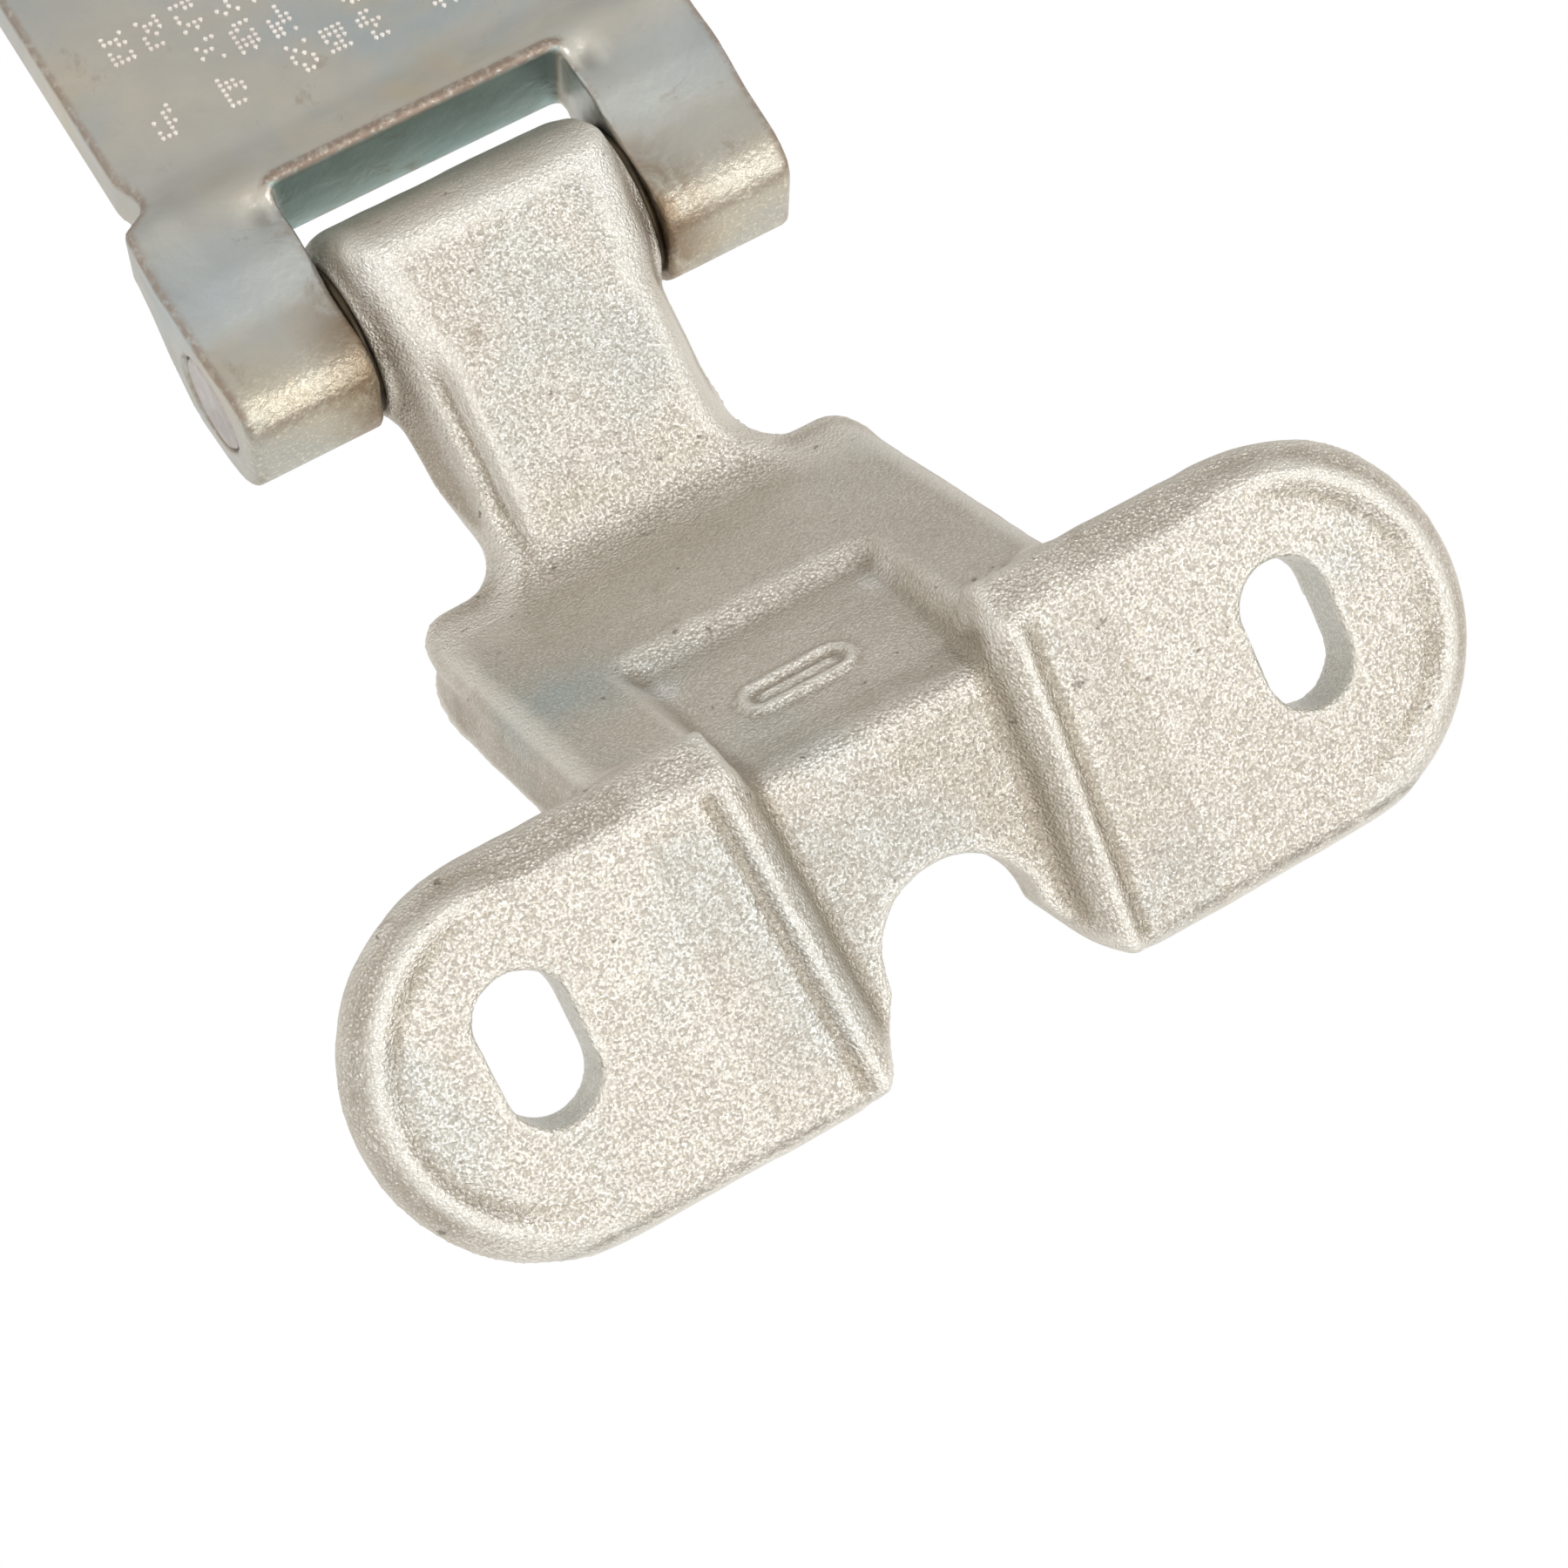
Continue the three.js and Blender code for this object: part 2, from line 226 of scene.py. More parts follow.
def cut_cells(inside):
    """Grid cells that have corners both inside and outside."""
    shape = np.array(inside.shape)
    count = np.zeros(shape - 1, np.int8)
    for corner in np.ndindex(2, 2, 2):
        part = tuple(slice(c, n - 1 + c) for c, n in zip(corner, shape))
        count += inside[part]
    return np.argwhere((count > 0) & (count < 8))


def cell_points(field, cells):
    """One point for each cell, in the middle of the places where the zero surface cuts its edges."""
    total = np.zeros(cells.shape)
    crossings = np.zeros(len(cells))
    for axis in range(3):
        step_on = np.eye(3, dtype=int)[axis]
        for corner in np.ndindex(2, 2, 2):
            if corner[axis]:
                continue
            a = cells + corner
            b = a + step_on
            fa, fb = field[tuple(a.T)], field[tuple(b.T)]
            cut = (fa < 0) != (fb < 0)
            t = np.where(cut, fa / np.where(cut, fa - fb, 1), 0)
            total += cut[:, None] * (np.array(corner) + t[:, None] * step_on)
            crossings += cut
    return cells + total / crossings[:, None]


def cell_faces(inside, cells):
    """A four-sided face across each grid edge that leaves the solid, turned outward."""
    shape = np.array(inside.shape)
    number = np.full(shape - 1, -1, np.int32)
    number[tuple(cells.T)] = np.arange(len(cells))
    faces = []
    for axis in range(3):
        step_on, across, up = np.eye(3, dtype=int)[[axis, (axis + 1) % 3, (axis + 2) % 3]]
        starts = tuple(slice(0, n - 1) if a == axis else slice(1, n - 1) for a, n in enumerate(shape))
        stops = tuple(slice(1, None) if a == axis else slice(1, n - 1) for a, n in enumerate(shape))
        changes = np.argwhere(inside[starts] != inside[stops]) + (1 - step_on)
        ring = [changes - across - up, changes - up, changes, changes - across]
        quads = np.stack([number[tuple(cell.T)] for cell in ring], axis=1)
        leaving = inside[tuple(changes.T)]
        quads[~leaving] = quads[~leaving][:, ::-1]
        faces.append(quads)
    return np.concatenate(faces)


def surface(field, low, step):
    """Where the field is zero: vertices, four-sided faces, unit normals and how sharply it bends outward."""
    inside = field < 0
    cells = cut_cells(inside)
    slopes = np.gradient(field)
    points = settled(cell_points(field, cells), field, slopes)
    bend = sum(np.gradient(slope, axis=axis) for axis, slope in enumerate(slopes))
    crest, *normals = blended(points, [bend, *slopes])
    normals = np.stack(normals, axis=1)
    normals /= np.linalg.norm(normals, axis=1, keepdims=True)
    return points * step + np.array(low), cell_faces(inside, cells), normals, crest / step


def blended(points, fields):
    """Values of each field at the points, blended between the eight grid points around each."""
    base = np.clip(points.astype(int), 0, np.array(fields[0].shape) - 2)
    part = points - base
    values = [np.zeros(len(points)) for _ in fields]
    for corner in np.ndindex(2, 2, 2):
        weight = np.prod(np.where(corner, part, 1 - part), axis=1)
        at = tuple((base + corner).T)
        for value, field in zip(values, fields):
            value += weight * field[at]
    return values


def settled(points, field, slopes):
    """Moves each point along the field's slope until it lies on the zero surface."""
    for _ in range(2):
        value, *slope = blended(points, [field, *slopes])
        slope = np.stack(slope, axis=1)
        step = value / np.maximum((slope**2).sum(axis=1), 0.05)
        points = points - np.clip(step[:, None] * slope, -0.4, 0.4)
    return points


def axes_of_grid(low, high, step):
    """Evenly spaced values along each axis of a grid."""
    counts = [int(math.ceil((b - a) / step)) + 1 for a, b in zip(low, high)]
    return [a + step * np.arange(n) for a, n in zip(low, counts)]


def make_piece(name, points, faces, material, **marks):
    """A smooth-shaded object from points in metres; marks are values at each point that materials read."""
    mesh = bpy.data.meshes.new(name)
    faces = np.asarray(faces)
    corners = faces.shape[1]
    mesh.vertices.add(len(points))
    mesh.vertices.foreach_set("co", np.asarray(points, np.float32).ravel())
    mesh.loops.add(faces.size)
    mesh.loops.foreach_set("vertex_index", faces.astype(np.int32).ravel())
    mesh.polygons.add(len(faces))
    mesh.polygons.foreach_set("loop_start", np.arange(0, faces.size, corners, dtype=np.int32))
    mesh.polygons.foreach_set("use_smooth", np.ones(len(faces), bool))
    mesh.update(calc_edges=True)
    mesh.validate()
    for mark, values in marks.items():
        mesh.attributes.new(mark, "FLOAT", "POINT").data.foreach_set("value", values.astype(np.float32))
    mesh.materials.append(material)
    piece = bpy.data.objects.new(name, mesh)
    bpy.context.scene.collection.objects.link(piece)
    return piece


# ---- forged leaf ----
def ramp_face_at(front):
    return RAMP_TOP_AT - (PAD_FRONT - front) * RAMP_RUN


def ramp_back_at(front):
    return ramp_face_at(front) + RAMP_THICKNESS / math.sin(RAMP_SLOPE)


def web_side():
    """Outline of the knuckle, arm, ramp and pads seen along the pin, in p and q."""
    bend_at = ramp_face_at(ARM_FRONT_AT_BEND)
    arm_back = ARM_FRONT_AT_BEND - ARM_THICKNESS
    return rounded_outline([
        (-KNUCKLE_TOP, KNUCKLE_FRONT - 5, 3),
        (-KNUCKLE_TOP + 3.3, KNUCKLE_FRONT + 0.2, 1.2),
        (bend_at, ARM_FRONT_AT_BEND, FRONT_BEND_RADIUS),
        (RAMP_TOP_AT, PAD_FRONT, 3),
        (PAD_BOTTOM, PAD_FRONT, 1),
        (PAD_BOTTOM, PAD_BACK, 2),
        (ramp_back_at(PAD_BACK), PAD_BACK, 4),
        (ramp_back_at(arm_back), arm_back, 9),
        (KNUCKLE_BACK * 0.7, -KNUCKLE_BACK, 8),
        (-KNUCKLE_TOP, -KNUCKLE_BACK, 9.5),
    ])


def web_front():
    """Everything behind the front faces of the arm, the ramp and the pads."""
    bend_at = ramp_face_at(ARM_FRONT_AT_BEND)
    return rounded_outline([
        (-OUTSIDE, KNUCKLE_FRONT - 1.5, 0),
        (bend_at, ARM_FRONT_AT_BEND, FRONT_BEND_RADIUS),
        (RAMP_TOP_AT, PAD_FRONT, 3),
        (2.5 * OUTSIDE, PAD_FRONT, 0),
        (2.5 * OUTSIDE, -OUTSIDE, 0),
        (-OUTSIDE, -OUTSIDE, 0),
    ])


def web_plan():
    """Outline of the knuckle, neck, shoulders and ramp seen from the front, in p and z."""
    return rounded_outline(mirrored([
        (-KNUCKLE_TOP, KNUCKLE_HALF, 4),
        (SHOULDER_AT - 14, KNUCKLE_HALF - 0.4, 14),
        (SHOULDER_AT - 5, NECK_HALF, 5),
        (SHOULDER_AT, NECK_HALF, 4.5),
        (SHOULDER_AT, RAMP_HALF, 4.5),
        (PAD_BOTTOM, RAMP_HALF, 1),
    ]))


def pad_side():
    """Outline of a pad seen along the pin, in p and q."""
    return rounded_outline([
        (PAD_TOP, PAD_FRONT - PAD_SLANT, 1.8),
        (RAMP_TOP_AT, PAD_FRONT, 3),
        (PAD_BOTTOM - LOWER_BAND, PAD_FRONT, 0.6),
        (PAD_BOTTOM, PAD_FRONT - LOWER_BAND, 1),
        (PAD_BOTTOM, PAD_BACK, 2),
        (PAD_TOP, PAD_BACK, 1.6),
    ])


def pad_plan():
    """Outline of both pads as one round-ended bar seen from the front, in p and z."""
    half = (PAD_BOTTOM - PAD_TOP) / 2 - 0.1
    return rounded_outline(mirrored([(PAD_TOP, PAD_HALF_SPAN, half), (PAD_BOTTOM, PAD_HALF_SPAN, half)]))


def notch_plan():
    """The round notch and everything beyond the lower edge of the pads."""
    return rounded_outline(mirrored([
        (PAD_BOTTOM - 20, 9.5, 9.3),
        (PAD_BOTTOM - 10, 9.5, 3),
        (PAD_BOTTOM, 15.2, 8),
        (PAD_BOTTOM, 2 * OUTSIDE, 0),
        (PAD_BOTTOM + OUTSIDE, 2 * OUTSIDE, 0),
    ]))


def web_inset(p, behind):
    """How far the sides of the knuckle, arm and ramp stand inside their widest outline at each depth."""
    lower = rise(p, 35, 44)
    parting = 11 - 2.2 * rise(p, 8, 20) - 6.3 * rise(p, 19, 28.5)
    inset = 1.6 + 1.6 * rise(p, 0, 10) - 2.2 * rise(p, 24, 30)
    flank = inset * np.maximum(parting - behind, 0) / parting
    flank += (0.18 - 0.11 * rise(p, 4, 12)) * np.maximum(4.6 - behind, 0) ** 2 * (1 - rise(p, 22, 32))
    flank += 0.22 * np.maximum(2 - behind, 0) ** 2
    back = (0.32 + 0.15 * rise(p, 24, 29)) * (1 - lower) * rise(p, 6, 20)
    flank += back * np.maximum(behind - parting, 0)
    flank -= 0.2 * ridge(behind, parting, 1.2) * rise(p, 24, 30) * (1 - lower)
    return flank - 0.3 * lower * np.maximum(behind - 1.5, 0)


def side_distance(outline, low, high):
    """A way to look up the distance to a side outline at any p and q, from a finer flat grid."""
    corner = (low[0] - 6, low[1] - 6)
    p_line = np.arange(corner[0], high[0] + 8, GRID / 2)
    q_line = np.arange(corner[1], high[1] + 8, GRID / 2)
    flat = outline_distance(outline, p_line[:, None], q_line[None, :])
    return lambda p, q: looked_up(flat, corner, GRID / 2, p, q)


def channel_half_at(p):
    """Half the width of the channel, which narrows toward the lower edge of the pads."""
    way_down = (p - PAD_TOP) / (PAD_BOTTOM - PAD_TOP)
    return CHANNEL_TOP_HALF + way_down * (CHANNEL_BOTTOM_HALF - CHANNEL_TOP_HALF)


def in_channel(p, q, across):
    """1 inside the sunk channel, 0 outside it, with sloping walls."""
    between_walls = rise(channel_half_at(p) + 1.1 - across, 0, CHANNEL_WALL)
    return between_walls * rise(q, POCKET_FRONT - 6.2, POCKET_FRONT - 2.6)


def arm_lift(p, q, z):
    """How far the arm's front stands above its plain outline: crowned, stepped below and sloped above."""
    across = np.abs(z)
    crown = 1.1 * (1 - rise(across, 4, 19)) * (1 - rise(p, 20, 34))
    on_arm = rise(p, 3, 10) * (1 - rise(p, 26, 31))
    step_with_ridge = 2.0 * rise(across, 12.0, 13.9) - 1.5 * ridge(across, 15.7, 1.4)
    slope = 0.17 * np.maximum(across - 12.4, 0) ** 2
    return (crown - on_arm * np.where(z < 0, step_with_ridge, slope)) * rise(q, 0, 10)


def both_pads(profile, edge, p, across, behind):
    """The two pads, with a lip around their rounded ends and a fine line above their lower band."""
    at_ends = rise(across, 40, 50)
    lip = 0.95 * ridge(-edge, 3.5, 1.4) - 0.35 * ridge(-edge, 6.0, 0.8)
    lip_weight = at_ends * rise(-behind, -4, -1) * (1 + 0.35 * lumps(p.shape, 9, 11))
    lip_weight *= 1 - 0.7 * rise(p, 80, 86)
    slope = (0.35 + 0.55 * at_ends) * np.maximum(2.2 - behind, 0) + 0.3 * np.maximum(behind - 2.2, 0)
    line = 0.3 * ridge(p, PAD_BOTTOM - LOWER_BAND - 0.5, 0.5) * rise(across, 20, 24)
    return meet(profile - lip * lip_weight + line, edge + slope, 1.1)


def pad_fillet(p, q, across):
    """Radius where the pads join the ramp, fading where their fronts and their backs run together."""
    fronts_meet = rise(p, 45, 52) * rise(q, 63, 68)
    backs_meet = rise(p, 52, 58)
    return 0.05 + 6 * (1 - fronts_meet) * (1 - backs_meet) * rise(across, 19, 26)


def channel_beads(p, across, behind):
    """A bead beside each channel wall, with a shallow hollow beyond it."""
    beside = across - channel_half_at(p)
    near_front = rise(-behind, -3, -0.5) * rise(p, RAMP_TOP_AT - 1, RAMP_TOP_AT + 3)
    return (0.85 * ridge(beside, 2.1, 1.0) - 0.5 * ridge(beside, 4.1, 0.7)) * near_front


def slot_distance(p, across):
    """Distance from the wall of a pad's slot, negative inside the slot."""
    beyond = np.maximum(np.abs(p - SLOT_AT) - SLOT_STRAIGHT, 0)
    return np.hypot(beyond, across - SLOT_Z) - SLOT_RADIUS


def forged_field():
    """The forged leaf as a field, with the low corner of its grid."""
    low, high = (-14.5, -14, -70), (92.8, 76, 70)
    p_line, q_line, z_line = axes_of_grid(low, high, GRID)
    z = z_line[None, None, :]
    across = np.abs(z)
    p = p_line[:, None, None] + 0 * across
    q = q_line[None, :, None] + 0 * across
    plans = (web_plan(), pad_plan(), notch_plan())
    flats = [outline_distance(plan, p_line[:, None], z_line[None, :]) for plan in plans]
    web_edge, pad_edge, notch_edge = (flat[:, None, :] for flat in flats)

    sunk = in_channel(p, q, across)
    sunk_along = 1.5 + 2.2 * rise(q, POCKET_FRONT, PAD_FRONT)
    shifted = (p - sunk_along * sunk, q + CHANNEL_DEPTH * sunk - arm_lift(p, q, z))
    web_profile, front, pad_profile = (
        side_distance(outline, low, high)(*shifted) for outline in (web_side(), web_front(), pad_side())
    )
    behind_web = -front
    behind_pad = PAD_FRONT - q - CHANNEL_DEPTH * sunk

    web = meet(web_profile, web_edge + web_inset(p, behind_web), 0.9)
    pads = both_pads(pad_profile, pad_edge, p, across, behind_pad)
    open_channel = rise(channel_half_at(p) + 2.2 - across, 0, CHANNEL_WALL)
    pads = np.maximum(pads, -behind_web - 8 * (1 - open_channel))
    leaf = join(web, pads, pad_fillet(p, q, across))
    leaf = leaf - channel_beads(p, across, behind_pad) - raised_mark(p, q, z, behind_web)
    leaf = meet(leaf, -(notch_edge - 0.08 * np.maximum(behind_pad - 4, 0)), 0.9)
    leaf = meet(leaf, -slot_distance(p, across), 0.45)

    leaf = with_knuckle_ends(leaf, np.hypot(p, q), across)
    return leaf.astype(np.float32), low


def with_knuckle_ends(leaf, from_pin, across):
    """The leaf with a round face at each end of its bore, and a slightly uneven skin away from them."""
    end_faces = meet(from_pin - END_FACE_RADIUS, across - KNUCKLE_HALF, 0.4)
    leaf = meet(join(leaf, end_faces, 1.2), BORE_RADIUS - from_pin, 0.3)
    uneven = 0.16 * lumps(leaf.shape, 14, 3) + 0.07 * lumps(leaf.shape, 4, 5)
    return leaf + uneven * rise(from_pin, END_FACE_RADIUS, END_FACE_RADIUS + 3)


def raised_mark(p, q, z, behind):
    """A plain forging mark raised on the ramp: a long oval with a bar along its middle."""
    along = (p - RAMP_TOP_AT) * math.cos(RAMP_SLOPE) + (q - PAD_FRONT) * math.sin(RAMP_SLOPE)
    lean = z + 1.5
    rounded = np.hypot(along + 15.5, np.maximum(np.abs(lean) - 4.4, 0))
    shape = np.minimum(np.abs(rounded - 2.2), rounded + 0.35) - 0.35
    return 0.8 * (1 - rise(shape, -0.3, 0.6)) * rise(-behind, -2.2, -0.3) * rise(p, 40, 42)


def turned_to_rest(points):
    """Forged-leaf coordinates p, q, z in millimetres, turned into the shared frame in metres."""
    cos, sin = math.cos(REST_ANGLE), math.sin(REST_ANGLE)
    p, q, z = points.T
    placed = np.stack([p * cos + q * sin, p * sin - q * cos, z], axis=1)
    return placed * MM + np.array(PIN)


def forged_marks(points, normals):
    """Values at each point that tell the material where the plating differs and where light and shade are
    painted.
    """
    lengthwise, forward, sideways = normals.T
    p, q, z = points.T
    across = np.abs(z)
    slot_wall = (1 - rise(slot_distance(p, across), 0.2, 0.8)) * (1 - rise(forward, 0.3, 0.7))

    # Brown film on the pad ends; on faces turned sideways or toward the knuckle top the same brown is
    # painted shade.
    film_and_shade = rise(np.hypot(np.minimum(lengthwise, 0), sideways), 0.35, 0.75)
    film_and_shade *= 1 - 0.5 * rise(q, 15, 22) * (1 - rise(across, 27, 29))
    inward = -outline_distance(pad_plan(), p, z)
    on_pad_ends = (1 - rise(inward, 2.0, 3.4)) * rise(across, 40, 50) * (1 - rise(p, 78, 86))
    film_and_shade = np.maximum(film_and_shade, on_pad_ends) * rise(forward, -0.5, 0) * (1 - slot_wall)

    blued = ridge(np.hypot((q - 43) / 7, (z + 24) / 9), 0, 1) * rise(forward, 0, 0.2)
    # Painted highlight: white patches at the channel's top corners and the knuckle's upper corners.
    pocket_corners = ridge(np.hypot(q - 48, across - 14), 0, 2.4) * rise(-lengthwise, 0.3, 0.6)
    from_knuckle_corner = np.hypot(p + 6, (across - 15) * 1.4) + 100 * (forward < 0.2)
    # Painted shade along the fine groove above the pads' lower band.
    seam_shade = ridge(p, PAD_BOTTOM - LOWER_BAND - 0.4, 0.45) * rise(across, 17, 20) * (forward > 0.5)
    return {
        "film_and_shade": film_and_shade,
        "blued": np.maximum(blued, 0.35 * slot_wall),
        "polish_and_highlight": pocket_corners + ridge(from_knuckle_corner, 0, 3.2),
        "blasted": 0.45 + 0.55 * rise(forward, 0.5, 0.9),
        "seam_shade": seam_shade,
    }


def build_forged_leaf(material):
    """The forging; its coordinates are mirrored ones, so its faces are turned over."""
    field, low = forged_field()
    points, faces, normals, crest = surface(field, low, GRID)
    marks = forged_marks(points, normals)
    turned_faces = faces[:, ::-1]
    placed = turned_to_rest(points)
    return make_piece("forged_leaf_detail", placed, turned_faces, material, crest=crest, **marks)


# ---- fork leaf ----
def fork_side():
    """Outline of the strap and the ears seen along the pin, in x and y."""
    return rounded_outline([
        (-STRAP_END, -STRAP_FRONT, 1),
        (-WINDOW_WALL_AT - HUMP_LENGTH, -STRAP_FRONT, 7),
        (-WINDOW_WALL_AT - 2, -RIM_FRONT, 4),
        (-7.5, -RIM_FRONT + 0.8, 5),
        (-1, -EAR_FRONT, 9),
        (EAR_END, -EAR_FRONT, 5.5),
        (EAR_END, EAR_BACK, 9),
        (-EAR_BACK / 2, EAR_BACK, 5),
        (-WINDOW_WALL_AT, -STRAP_BACK, 7),
        (-STRAP_END, -STRAP_BACK, 1),
    ])


def fork_plan():
    """Outline of the strap and the ears seen from the front, in x and z."""
    return rounded_outline(mirrored([
        (-STRAP_END, STRAP_HALF, 14),
        (-RELIEF_AT - 4.5, STRAP_HALF, 4),
        (-RELIEF_AT - 1, STRAP_HALF - RELIEF_DEPTH, 2.5),
        (-RELIEF_AT + 1, STRAP_HALF - RELIEF_DEPTH, 2.5),
        (-RELIEF_AT + 3.5, EAR_OUTER + 0.6, 2),
        (-10, EAR_OUTER + 0.9, 9),
        (EAR_END, EAR_OUTER, 1.5),
    ]))


def window_plan():
    """The gap between the ears, open toward the pads."""
    return rounded_outline(mirrored([(-WINDOW_WALL_AT, EAR_INNER, 1.5), (OUTSIDE, EAR_INNER, 0)]))


def fork_field():
    """The fork leaf as a field, with the low corner of its grid."""
    low, high = (-120, -15, -38), (14, 12, 38)
    x_line, y_line, z_line = axes_of_grid(low, high, GRID)
    side = outline_distance(fork_side(), x_line[:, None], y_line[None, :])[:, :, None]
    plan = outline_distance(fork_plan(), x_line[:, None], z_line[None, :])[:, None, :]
    window = outline_distance(window_plan(), x_line[:, None], z_line[None, :])[:, None, :]
    x = x_line[:, None, None]
    y = y_line[None, :, None]
    z = z_line[None, None, :]
    outer_fall = 1.2 * rise(np.abs(z), 29, 36.5) * ridge(x, -13, 8) * rise(-y, 0, 6)
    dimple = 1.3 * ridge(np.hypot(x + 13, np.abs(z) - 21.6), 0, 2.4) * rise(-y, 6, 9)
    leaf = meet(side + outer_fall + dimple, plan, 0.6)
    rim = 0.4 * ridge(window, 0.9, 0.8) * rise(-y, 9, 11) * rise(-x, 13.5, 15)
    leaf = leaf - rim
    leaf = meet(leaf, -window, 0.5)
    round_bar = np.hypot(x, y) + 0 * z
    leaf = meet(leaf, PIN_RADIUS + 0.17 - round_bar, 0.25)
    for at, height in ((NEAR_BOLTS_AT, NEAR_BOLT_Z), (NEAR_BOLTS_AT, -NEAR_BOLT_Z), (FAR_BOLT_AT, 0)):
        leaf = meet(leaf, BOLT_RADIUS - np.hypot(x + at, z - height) - 0 * y, 0.5)
    return leaf.astype(np.float32), low


def build_fork_leaf(material):
    """The bent plate, marked where its cut edges are torn."""
    field, low = fork_field()
    points, faces, normals, crest = surface(field, low, GRID)
    x, _, z = points.T
    from_side = -outline_distance(fork_plan(), x, z)
    from_window = outline_distance(window_plan(), x, z)
    at_sides = 0.8 * (1 - rise(from_side, 0.4, 1.4))
    at_window = (1 - rise(from_window, 1.2, 1.9)) * (x < -WINDOW_WALL_AT)
    torn = np.maximum(at_sides, at_window) * rise(-normals[:, 1], 0.1, 0.5)
    placed = points * MM + np.array(PIN)
    return make_piece("fork_leaf_detail", placed, faces, material, crest=crest, torn=torn)


DOT_SIZES = (
    ("Dot radius", "NodeSocketFloat", 0.00033),
    ("Dot spacing", "NodeSocketFloat", 0.0008),
    ("Dots in a bar", "NodeSocketInt", 6),
    ("Bars in a block", "NodeSocketInt", 4),
    ("Block spacing", "NodeSocketFloat", 0.0046),
    ("Blocks in a row", "NodeSocketInt", 12),
    ("Row spacing", "NodeSocketFloat", 0.006),
    ("Rows", "NodeSocketInt", 3),
    ("Blocks left out", "NodeSocketFloat", 0.25),
    ("Dots left out", "NodeSocketFloat", 0.45),
)


class GeometryTree:
    """Short ways to build a node tree that makes geometry from named sizes."""

    def __init__(self, name, sizes):
        self.tree = bpy.data.node_groups.new(name, "GeometryNodeTree")
        sockets = self.tree.interface
        for title, kind, value in sizes:
            sockets.new_socket(title, in_out="INPUT", socket_type=kind).default_value = value
        sockets.new_socket("Geometry", in_out="OUTPUT", socket_type="NodeSocketGeometry")
        self.given = self.add("NodeGroupInput").outputs

    def add(self, kind):
        return self.tree.nodes.new(kind)

    def link(self, output, socket):
        self.tree.links.new(output, socket)

    def line(self, count, spacing, axis):
        """Points in a line along one axis; the count and the spacing are named sizes."""
        node = self.add("GeometryNodeMeshLine")
        offset = self.add("ShaderNodeCombineXYZ")
        self.link(self.given[count], node.inputs["Count"])
        self.link(self.given[spacing], offset.inputs[axis])
        self.link(offset.outputs["Vector"], node.inputs["Offset"])
        return node.outputs["Mesh"]

    def placed(self, points, instance):
        """The instance on every point, as real geometry."""
        node = self.add("GeometryNodeInstanceOnPoints")
        whole = self.add("GeometryNodeRealizeInstances")
        self.link(points, node.inputs["Points"])
        self.link(instance, node.inputs["Instance"])
        self.link(node.outputs["Instances"], whole.inputs["Geometry"])
        return whole.outputs["Geometry"]

    def thinned(self, points, share, seed):
        """The points with a random share of them left out; the share is a named size."""
        chance = self.add("FunctionNodeRandomValue")
        chance.data_type = "BOOLEAN"
        by_name = {socket.identifier: socket for socket in chance.inputs}
        self.link(self.given[share], by_name["Probability"])
        by_name["Seed"].default_value = seed
        kept = self.add("GeometryNodeDeleteGeometry")
        self.link(points, kept.inputs["Geometry"])
        self.link(next(socket for socket in chance.outputs if socket.enabled), kept.inputs["Selection"])
        return kept.outputs["Geometry"]

    def finish(self, geometry, shift, material):
        """Moves the geometry to its place, gives it its material and sends it out."""
        place = self.add("GeometryNodeTransform")
        place.inputs["Translation"].default_value = shift
        self.link(geometry, place.inputs["Geometry"])
        coat = self.add("GeometryNodeSetMaterial")
        coat.inputs["Material"].default_value = material
        self.link(place.outputs["Geometry"], coat.inputs["Geometry"])
        self.link(coat.outputs["Geometry"], self.add("NodeGroupOutput").inputs["Geometry"])
        return self.tree


def dot_tree(material):
    """Rows of small blocks of peened dots; some blocks and some dots are left out at random."""
    tree = GeometryTree("peened dots", DOT_SIZES)
    dot = tree.add("GeometryNodeMeshUVSphere")
    dot.inputs["Segments"].default_value = 8
    dot.inputs["Rings"].default_value = 5
    tree.link(tree.given["Dot radius"], dot.inputs["Radius"])
    rows = tree.line("Rows", "Row spacing", "X")
    blocks = tree.placed(rows, tree.line("Blocks in a row", "Block spacing", "Z"))
    bars = tree.line("Bars in a block", "Dot spacing", "Z")
    block = tree.placed(bars, tree.line("Dots in a bar", "Dot spacing", "X"))
    some_blocks = tree.thinned(blocks, "Blocks left out", 4)
    some_dots = tree.thinned(tree.placed(some_blocks, block), "Dots left out", 9)
    first_dot = (PIN.x - 0.0452, PIN.y - STRAP_FRONT * MM, -0.0262)
    return tree.finish(tree.placed(some_dots, dot.outputs["Mesh"]), first_dot, material)


def build_peened_dots(material):
    """A pattern of peened dots on the strap, turned from its node tree into a plain mesh."""
    maker = bpy.data.objects.new("dot_maker", bpy.data.meshes.new("dot_maker"))
    bpy.context.scene.collection.objects.link(maker)
    maker.modifiers.new("dots", "NODES").node_group = dot_tree(material)
    ready = maker.evaluated_get(bpy.context.evaluated_depsgraph_get())
    mesh = bpy.data.meshes.new_from_object(ready)
    bpy.data.objects.remove(maker)
    piece = bpy.data.objects.new("peened_dots", mesh)
    bpy.context.scene.collection.objects.link(piece)
    return piece


# ---- pin and bushes ----
def turned_part(name, profile, material, sides=96):
    """A round part about the pin axis from a closed profile of radius and height."""
    rings = len(profile)
    points, faces = [], []
    for side in range(sides):
        turn = 2 * math.pi * side / sides
        for radius, height in profile:
            points.append((radius * math.cos(turn), radius * math.sin(turn), height))
    for side in range(sides):
        after = (side + 1) % sides
        for ring in range(rings):
            up = (ring + 1) % rings
            faces.append((side * rings + ring, after * rings + ring, after * rings + up, side * rings + up))
    return make_piece(name, np.array(points) * MM + np.array(PIN), faces, material)


